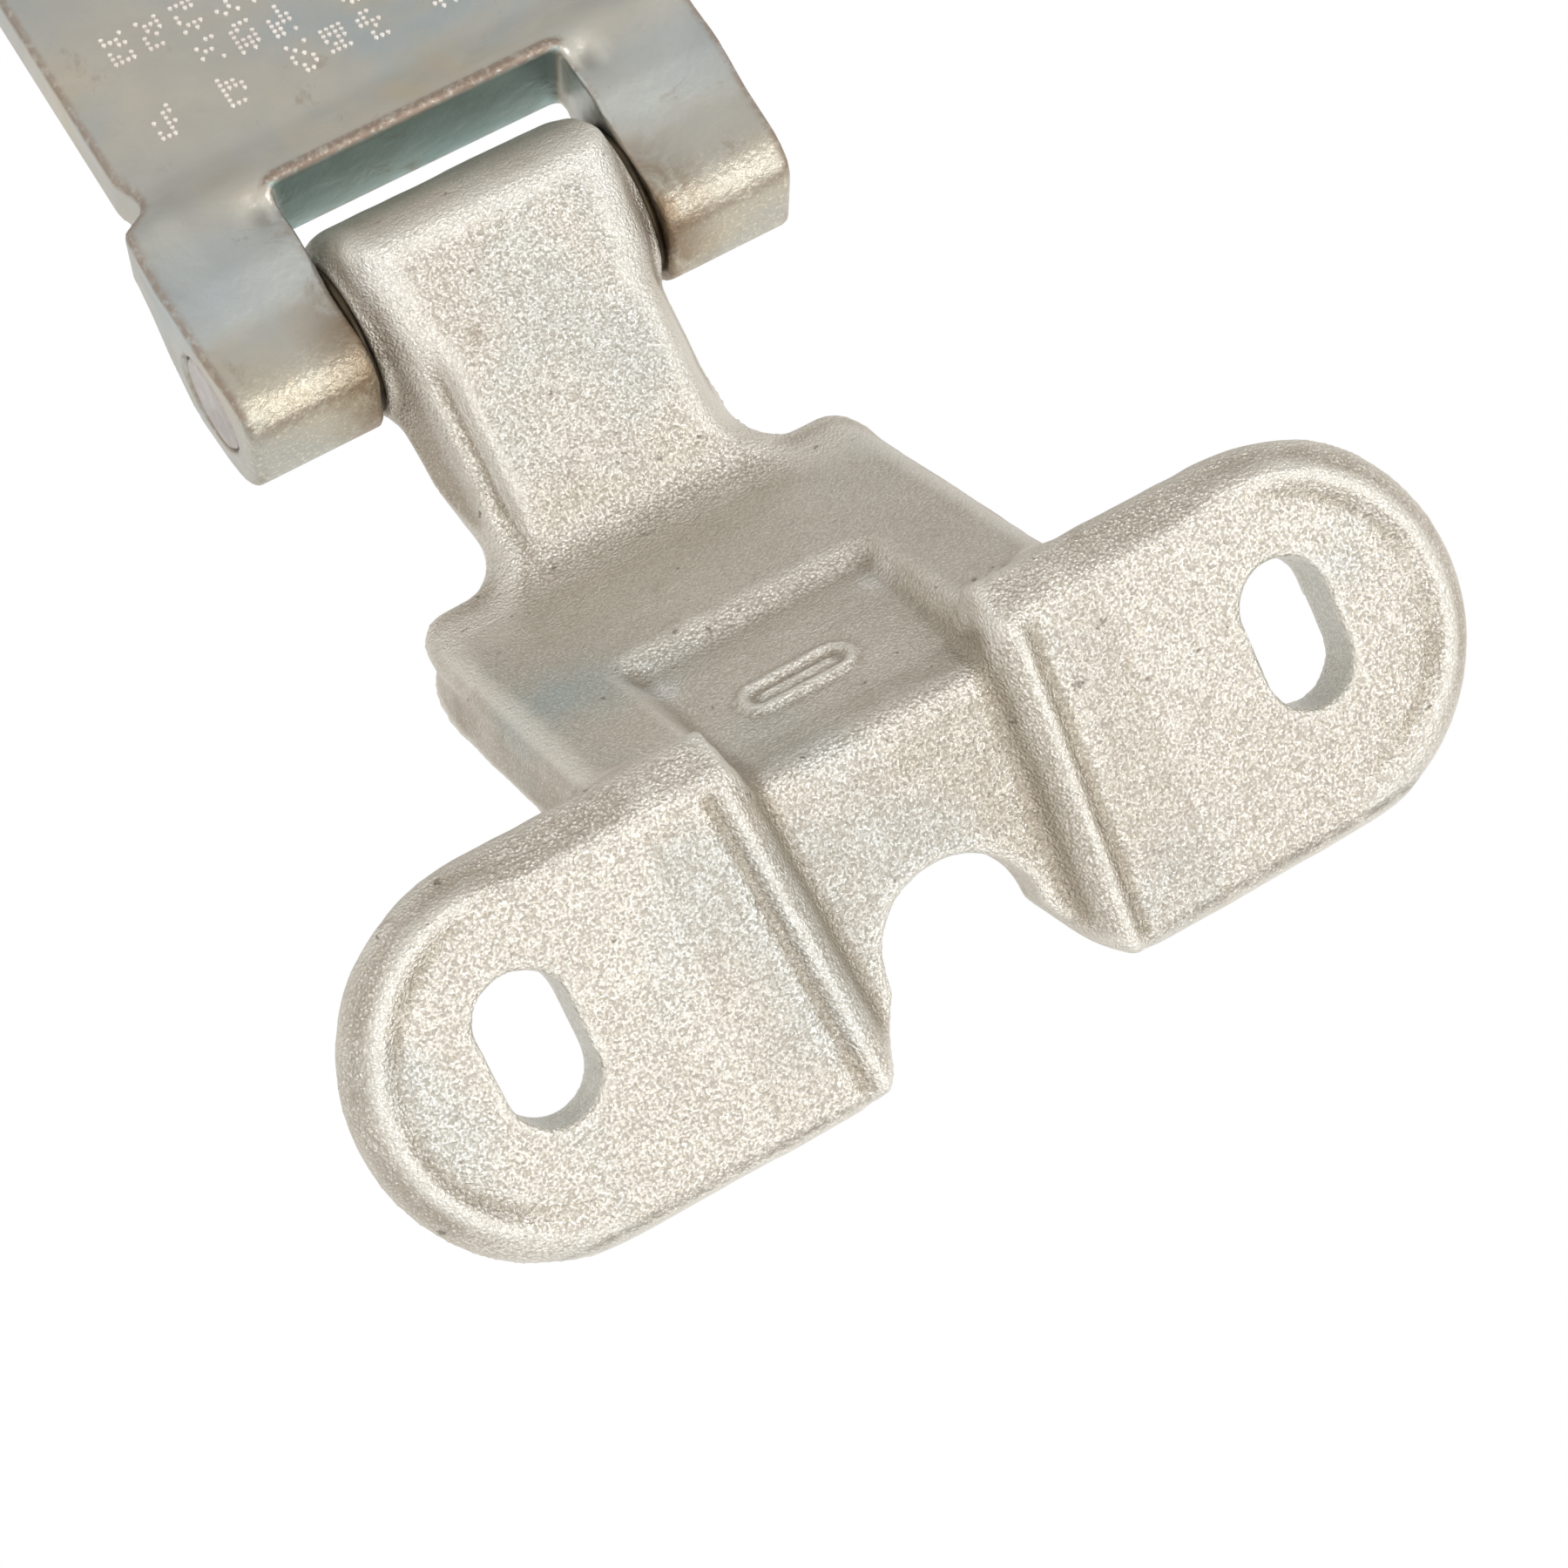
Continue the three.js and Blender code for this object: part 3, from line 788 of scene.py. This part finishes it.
def build_pin(material):
    """The pin, with a rounded chamfer at each end."""
    upper_end = [
        (PIN_RADIUS, PIN_HALF - 0.5),
        (PIN_RADIUS - 0.4, PIN_HALF - 0.1),
        (PIN_RADIUS - PIN_CHAMFER, PIN_HALF),
        (0.3, PIN_HALF),
        (0.05, PIN_HALF),
    ]
    lower_end = [(radius, -height) for radius, height in reversed(upper_end)]
    return turned_part("pin_detail", lower_end + upper_end, material)


def build_bush(name, side, material):
    """One flanged bush in the upper half of the knuckle, or its mirror image in the lower half."""
    inner, outer = PIN_RADIUS + CLEARANCE, BORE_RADIUS - CLEARANCE
    face = KNUCKLE_HALF + CLEARANCE
    profile = [
        (inner, BUSH_START),
        (outer - 0.2, BUSH_START),
        (outer, BUSH_START + 0.2),
        (outer, face),
        (outer + FLANGE_WIDTH, face),
        (outer + FLANGE_WIDTH, face + FLANGE_THICKNESS),
        (inner + 0.2, face + FLANGE_THICKNESS),
        (inner, face + FLANGE_THICKNESS - 0.2),
    ]
    if side < 0:
        profile = [(radius, -height) for radius, height in reversed(profile)]
    return turned_part(name, profile, material)


# ---- materials ----
RANGE_ENDS = ("From Min", "From Max", "To Min", "To Max")
COLOUR_UNDER, COLOUR_OVER, COLOUR_OUT = 6, 7, 2


class Nodes:
    """Short ways to add and join shader nodes."""

    def __init__(self, name):
        self.material = bpy.data.materials.new(name)
        self.material.use_nodes = True
        self.tree = self.material.node_tree
        self.shader = self.tree.nodes["Principled BSDF"]
        self.place = self.add("ShaderNodeTexCoord").outputs["Object"]

    def add(self, kind, **settings):
        node = self.tree.nodes.new(kind)
        for key, value in settings.items():
            setattr(node, key, value)
        return node

    def join(self, output, socket):
        self.tree.links.new(output, socket)

    def noise(self, scale, detail=4, roughness=0.55, warp=0.0, stretch=(1, 1, 1)):
        mapping = self.add("ShaderNodeMapping")
        mapping.inputs["Scale"].default_value = stretch
        self.join(self.place, mapping.inputs["Vector"])
        node = self.add("ShaderNodeTexNoise")
        node.inputs["Scale"].default_value = scale
        node.inputs["Detail"].default_value = detail
        node.inputs["Roughness"].default_value = roughness
        node.inputs["Distortion"].default_value = warp
        self.join(mapping.outputs["Vector"], node.inputs["Vector"])
        return node.outputs["Fac"]

    def cells(self, scale):
        """Distance from the middle of the nearest of many small rounded cells."""
        node = self.add("ShaderNodeTexVoronoi", feature="SMOOTH_F1")
        node.inputs["Scale"].default_value = scale
        node.inputs["Smoothness"].default_value = 0.5
        self.join(self.place, node.inputs["Vector"])
        return node.outputs["Distance"]

    def carried(self, name):
        """A value that the mesh holds at each of its points."""
        return self.add("ShaderNodeAttribute", attribute_name=name).outputs["Fac"]

    def coordinate(self, axis):
        node = self.add("ShaderNodeSeparateXYZ")
        self.join(self.place, node.inputs["Vector"])
        return node.outputs[axis]

    def along(self, axis, start, end):
        """0 at the start and 1 at the end of a stretch of one axis."""
        return self.span(self.coordinate(axis), start, end)

    def span(self, value, from_low, from_high, to_low=0.0, to_high=1.0):
        """The value moved from one range to another and held at its ends."""
        node = self.add("ShaderNodeMapRange")
        for socket, number in zip(RANGE_ENDS, (from_low, from_high, to_low, to_high)):
            node.inputs[socket].default_value = number
        self.join(value, node.inputs["Value"])
        return node.outputs["Result"]

    def maths(self, operation, a, b=None, c=None):
        node = self.add("ShaderNodeMath", operation=operation)
        for socket, value in zip(node.inputs, (a, b, c)):
            if value is None:
                continue
            if isinstance(value, (int, float)):
                socket.default_value = value
            else:
                self.join(value, socket)
        return node.outputs["Value"]

    def product(self, first, *others):
        """The values multiplied together."""
        result = first
        for value in others:
            result = self.maths("MULTIPLY", result, value)
        return result

    def mix(self, amount, under, over):
        node = self.add("ShaderNodeMix", data_type="RGBA")
        sockets = (node.inputs["Factor"], node.inputs[COLOUR_UNDER], node.inputs[COLOUR_OVER])
        for socket, value in zip(sockets, (amount, under, over)):
            if isinstance(value, tuple):
                socket.default_value = (*value, 1)
            else:
                self.join(value, socket)
        return node.outputs[COLOUR_OUT]

    def coated(self, tone, coats):
        """The tone with each coat laid over the ones before; a coat is how much there is and its colour."""
        for amount, colour in coats:
            tone = self.mix(amount, tone, colour)
        return tone

    def bump(self, height, strength, distance, after=None):
        """A normal from a height, in addition to an earlier bump where one is given."""
        node = self.add("ShaderNodeBump")
        node.inputs["Strength"].default_value = strength
        node.inputs["Distance"].default_value = distance
        self.join(height, node.inputs["Height"])
        if after is not None:
            self.join(after, node.inputs["Normal"])
        return node.outputs["Normal"]


# ---- colours of the zinc on the forging ----
WARM_ZINC = ((0.76, 0.71, 0.63), (0.88, 0.84, 0.76))
COOL_ZINC = (0.70, 0.75, 0.76)
# Brown film, also used as painted shade on faces turned sideways or toward the knuckle top.
BROWN_FILM_AND_SHADE = (0.45, 0.39, 0.315)
BLUED_ZINC = (0.48, 0.56, 0.56)
BETWEEN_PEBBLES = (0.40, 0.36, 0.30)
PEBBLE_TOPS = (1.0, 0.98, 0.93)
# White of a painted highlight.
HIGHLIGHT_WHITE = (1.0, 1.0, 1.0)
# Rubbed crests, partly a painted highlight along convex edges.
RUBBED_AND_HIGHLIT_CREST = (0.90, 0.87, 0.80)
# Painted shade in concave creases.
VALLEY_SHADE = (0.34, 0.29, 0.22)
# Painted shade for the fine groove above the pads' lower band.
SEAM_SHADE = (0.22, 0.19, 0.15)
PIT = (0.18, 0.15, 0.12)
BROWN_STAIN = (0.32, 0.25, 0.18)

# ---- colours of the zinc on the plate ----
GREY_ZINC = ((0.51, 0.51, 0.48), (0.61, 0.575, 0.50))
BLUE_TINT = (0.43, 0.50, 0.53)
GOLD_TINT = (0.61, 0.52, 0.36)
EAR_TINT = (0.45, 0.52, 0.55)
EAR_END_TINT = (0.62, 0.55, 0.40)
WINDOW_GREEN = (0.37, 0.51, 0.50)
WINDOW_SCRAPE = (0.14, 0.20, 0.20)
SPARKLE = (0.88, 0.82, 0.68)
TORN_EDGE = (0.33, 0.26, 0.21)
DEEP_BROWN = (0.26, 0.17, 0.09)
PLATE_STAIN = (0.28, 0.21, 0.14)
WORN_CREST = (0.36, 0.28, 0.22)
# Painted shade in the plate's concave creases.
PLATE_VALLEY_SHADE = (0.30, 0.30, 0.27)


def plated_forging():
    """Bright zinc over a coarse shot-blasted forging, with a few dark pits and brown stains, painted
    highlights on corners and crests, and painted shade in creases and on faces turned away.
    """
    n = Nodes("zinc on a blasted forging")
    tone = n.mix(n.span(n.noise(30, 3), 0.35, 0.65), *WARM_ZINC)
    pebbles = n.maths("MULTIPLY_ADD", n.cells(2600), -0.6, n.maths("ADD", n.noise(3400, 2, 0.6), 0.24))
    blasted = n.carried("blasted")
    crest = n.carried("crest")
    # Brown film, which also paints shade on faces turned sideways or toward the knuckle top.
    film_and_shade = n.product(n.carried("film_and_shade"), n.span(n.noise(120, 4, 0.6), 0.3, 0.6, 0.5, 0.9))
    # Painted highlight where rounded corners catch the light, white and a little less rough.
    polish_and_highlight = n.product(n.carried("polish_and_highlight"), n.span(pebbles, 0.40, 0.55, 0.35, 1.0))
    tone = n.coated(tone, (
        (n.product(n.span(n.noise(38, 2, 0.5, 0.7), 0.54, 0.68), 0.5), COOL_ZINC),
        (film_and_shade, BROWN_FILM_AND_SHADE),
        (n.product(n.carried("blued"), n.span(n.noise(90, 4, 0.6), 0.3, 0.6, 0.4, 0.9)), BLUED_ZINC),
        (n.product(n.span(pebbles, 0.34, 0.50, 0.7, 0.0), blasted), BETWEEN_PEBBLES),
        (n.product(n.span(pebbles, 0.54, 0.68, 0.0, 0.8), blasted), PEBBLE_TOPS),
        (polish_and_highlight, HIGHLIGHT_WHITE),
        # Convex crests lightened: edge wear and a painted highlight.
        (n.span(crest, 0.10, 0.6, 0.0, 0.6), RUBBED_AND_HIGHLIT_CREST),
        # Concave creases darkened: painted shade.
        (n.span(crest, -0.06, -0.5, 0.0, 0.65), VALLEY_SHADE),
        # Dark line in the groove above the lower band: painted shade.
        (n.product(n.carried("seam_shade"), n.span(n.noise(260, 4, 0.7), 0.34, 0.6, 0.15, 0.8)), SEAM_SHADE),
        (n.product(n.span(n.noise(480, 3, 0.6), 0.69, 0.74), 0.7), PIT),
        (n.product(n.span(n.noise(85, 6, 0.75, 0.6), 0.62, 0.74), 0.5), BROWN_STAIN),
    ))
    n.join(tone, n.shader.inputs["Base Color"])
    n.shader.inputs["Metallic"].default_value = 0.85
    rough = n.maths("MULTIPLY_ADD", film_and_shade, 0.2, n.span(pebbles, 0.3, 0.7, 0.34, 0.22))
    n.join(n.maths("MULTIPLY_ADD", polish_and_highlight, -0.08, rough), n.shader.inputs["Roughness"])
    coarse = n.bump(n.noise(900, 4, 0.65), 0.45, 0.0005)
    n.join(n.bump(pebbles, 0.9, 0.00027, coarse), n.shader.inputs["Normal"])
    return n.material


def on_window_wall(n):
    """1 on the wall of the window that faces the knuckle."""
    at_wall = n.maths("COMPARE", n.coordinate("X"), PIN.x - WINDOW_WALL_AT * MM, 0.0003)
    between_ears = n.maths("LESS_THAN", n.maths("ABSOLUTE", n.coordinate("Z")), EAR_INNER * MM)
    return n.product(at_wall, between_ears)


def browned_near_knuckle(n):
    """Patches of brown on the pin's half of the ears, strongest beside the knuckle."""
    inner = n.span(n.maths("ABSOLUTE", n.coordinate("Z")), 0.0195, 0.027, 1.0, 0.0)
    patchy = n.span(n.noise(150, 5, 0.7, 0.6), 0.34, 0.54)
    return n.product(n.along("X", PIN.x - 0.004, PIN.x + 0.004), inner, patchy, 0.85)


def plated_plate():
    """Satin zinc on smooth plate, faintly yellow, blue and green, browned at the ears' inner edges, with
    painted shade in its creases.
    """
    n = Nodes("satin zinc on plate")
    tone = n.mix(n.span(n.noise(26, 3, 0.5, 0.4), 0.38, 0.62), *GREY_ZINC)
    in_window = on_window_wall(n)
    on_ears = n.product(n.along("X", PIN.x - 0.015, PIN.x - 0.011), n.along("X", PIN.x, PIN.x - 0.003))
    ear_ends = n.along("X", PIN.x + 0.003, PIN.x + 0.010)
    scraped = n.span(n.noise(170, 2, 0.5, 0, (0.05, 0.05, 1)), 0.62, 0.66, 0.0, 0.45)
    torn = n.product(n.carried("torn"), n.span(n.noise(900, 4, 0.7), 0.36, 0.52, 0.3, 1.0))
    crest = n.carried("crest")
    worn = n.product(n.span(crest, 0.25, 1.0), n.span(n.noise(700, 4, 0.7), 0.42, 0.58))
    tone = n.coated(tone, (
        (n.product(n.span(n.noise(42, 4, 0.5, 0.8), 0.48, 0.68), 0.7), BLUE_TINT),
        (n.product(n.span(n.noise(55, 4, 0.5, 0.6), 0.53, 0.72), 0.65), GOLD_TINT),
        (n.product(on_ears, 0.45), EAR_TINT),
        (n.product(n.along("X", PIN.x + 0.001, PIN.x + 0.008), 0.35), EAR_END_TINT),
        (n.product(in_window, 0.9), WINDOW_GREEN),
        (n.product(n.span(n.noise(1900, 2, 0.6), 0.56, 0.66), ear_ends, 0.7), SPARKLE),
        (n.product(in_window, scraped), WINDOW_SCRAPE),
        (torn, TORN_EDGE),
        (browned_near_knuckle(n), DEEP_BROWN),
        (n.product(n.span(n.noise(110, 6, 0.75, 0.5), 0.60, 0.74), 0.6), PLATE_STAIN),
        (n.product(worn, 0.7), WORN_CREST),
        # Concave creases darkened: painted shade.
        (n.span(crest, -0.05, -0.4, 0.0, 0.5), PLATE_VALLEY_SHADE),
    ))
    n.join(tone, n.shader.inputs["Base Color"])
    n.shader.inputs["Metallic"].default_value = 0.9
    satin = n.span(n.noise(240, 4), 0.3, 0.7, 0.30, 0.44)
    n.join(n.maths("MULTIPLY_ADD", torn, 0.25, satin), n.shader.inputs["Roughness"])
    dents = n.bump(n.noise(170, 3, 0.5), 0.35, 0.0007)
    grain = n.product(n.noise(1100, 4, 0.6), n.span(ear_ends, 0.0, 1.0, 0.12, 1.0))
    n.join(n.bump(grain, 0.8, 0.0005, dents), n.shader.inputs["Normal"])
    return n.material


def plain_metal(name, dark, light, roughness, ring_scale):
    """Metal of one tone with fine rings around the pin axis."""
    n = Nodes(name)
    tone = n.mix(n.span(n.noise(260, 4), 0.35, 0.65), dark, light)
    n.join(tone, n.shader.inputs["Base Color"])
    n.shader.inputs["Metallic"].default_value = 0.9
    rough = n.span(n.noise(900, 3), 0.3, 0.7, roughness - 0.06, roughness + 0.08)
    n.join(rough, n.shader.inputs["Roughness"])
    rings = n.noise(ring_scale, 3, 0.5, 0, (0.2, 0.2, 6))
    n.join(n.bump(rings, 0.3, 0.0001), n.shader.inputs["Normal"])
    return n.material


# ---- set, light and camera ----
def build_floor():
    """A wide pale floor below the hinge."""
    corners = [(-1, -1), (1, -1), (1, 1), (-1, 1)]
    points = [(FLOOR_REACH * x, FLOOR_REACH * y, FLOOR_HEIGHT) for x, y in corners]
    mesh = bpy.data.meshes.new("floor")
    mesh.from_pydata(points, [], [(0, 1, 2, 3)])
    n = Nodes("pale floor")
    n.shader.inputs["Base Color"].default_value = (0.9, 0.9, 0.9, 1)
    n.shader.inputs["Roughness"].default_value = 0.7
    mesh.materials.append(n.material)
    floor = bpy.data.objects.new("floor", mesh)
    bpy.context.scene.collection.objects.link(floor)


def build_world():
    """White to look at; as a light it is brighter toward +X and dimmer toward -X."""
    world = bpy.data.worlds.new("studio")
    bpy.context.scene.world = world
    world.use_nodes = True
    tree = world.node_tree
    nodes, links = tree.nodes, tree.links
    shown = nodes["Background"]
    shown.inputs["Color"].default_value = (1, 1, 1, 1)
    shown.inputs["Strength"].default_value = 1.0
    lit = nodes.new("ShaderNodeBackground")
    place = nodes.new("ShaderNodeTexCoord")
    toward = nodes.new("ShaderNodeVectorMath")
    toward.operation = "DOT_PRODUCT"
    toward.inputs[1].default_value = (0.75, 0.15, 0.55)
    links.new(place.outputs["Generated"], toward.inputs[0])
    ramp = nodes.new("ShaderNodeMapRange")
    ramp.interpolation_type = "SMOOTHSTEP"
    for socket, number in zip(RANGE_ENDS, (-0.7, 0.65, 0.6, 1.0)):
        ramp.inputs[socket].default_value = number
    links.new(toward.outputs["Value"], ramp.inputs["Value"])
    links.new(ramp.outputs["Result"], lit.inputs["Strength"])
    lit.inputs["Color"].default_value = (1.0, 0.985, 0.96, 1)
    path = nodes.new("ShaderNodeLightPath")
    mix = nodes.new("ShaderNodeMixShader")
    links.new(path.outputs["Is Camera Ray"], mix.inputs["Fac"])
    links.new(lit.outputs["Background"], mix.inputs[1])
    links.new(shown.outputs["Background"], mix.inputs[2])
    links.new(mix.outputs["Shader"], nodes["World Output"].inputs["Surface"])


def add_softbox(name, direction, distance, size, power):
    """A round soft light that faces the pin from the given direction."""
    light = bpy.data.lights.new(name, "AREA")
    light.shape = "DISK"
    light.size = size
    light.energy = power
    lamp = bpy.data.objects.new(name, light)
    aim = Vector(direction).normalized()
    lamp.location = PIN + aim * distance
    lamp.rotation_euler = aim.to_track_quat("Z", "Y").to_euler()
    bpy.context.scene.collection.objects.link(lamp)


def build_camera():
    data = bpy.data.cameras.new("camera")
    data.sensor_width = 36
    data.lens = CAMERA_LENS
    data.clip_start = 0.01
    camera = bpy.data.objects.new("camera", data)
    right, up = Vector(CAMERA_RIGHT), Vector(CAMERA_UP)
    turn = Matrix((right, up, right.cross(up))).transposed()
    camera.matrix_world = Matrix.Translation(PIN + Vector(CAMERA_FROM_PIN)) @ turn.to_4x4()
    bpy.context.scene.collection.objects.link(camera)
    bpy.context.scene.camera = camera


forging = plated_forging()
plate = plated_plate()
steel = plain_metal("dull turned steel", (0.42, 0.38, 0.36), (0.58, 0.54, 0.52), 0.34, 300)
burr = plain_metal("bright peened burr", (0.86, 0.80, 0.76), (0.98, 0.94, 0.90), 0.3, 900)
# Near-black bronze: the bushes show only in the narrow gaps beside the knuckle, and this tone paints those
# gaps as shade.
bronze = plain_metal("bronze toned as gap shade", (0.05, 0.04, 0.03), (0.11, 0.085, 0.05), 0.5, 400)

pieces = [
    (build_fork_leaf(plate), "fixed_side", "fork_leaf", "plated_plate"),
    (build_pin(steel), "fixed_side", "hinge_pin", "pin_steel"),
    (build_forged_leaf(forging), "door_side", "forged_leaf", "plated_forging"),
    (build_bush("upper_bush_detail", 1, bronze), "door_side", "bush_upper", "bush_bronze"),
    (build_bush("lower_bush_detail", -1, bronze), "door_side", "bush_lower", "bush_bronze"),
]
for piece, body, node, slot in pieces:
    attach(piece, body)
    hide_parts(node)
dots = build_peened_dots(burr)
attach(dots, "fixed_side")

build_floor()
build_world()
add_softbox("key softbox", (0.67, -0.70, 0.24), 0.9, 0.36, 2.2)
add_softbox("low softbox", (0.95, 0.1, -0.4), 0.9, 0.3, 0.8)
build_camera()
bpy.context.scene.view_settings.view_transform = "Standard"
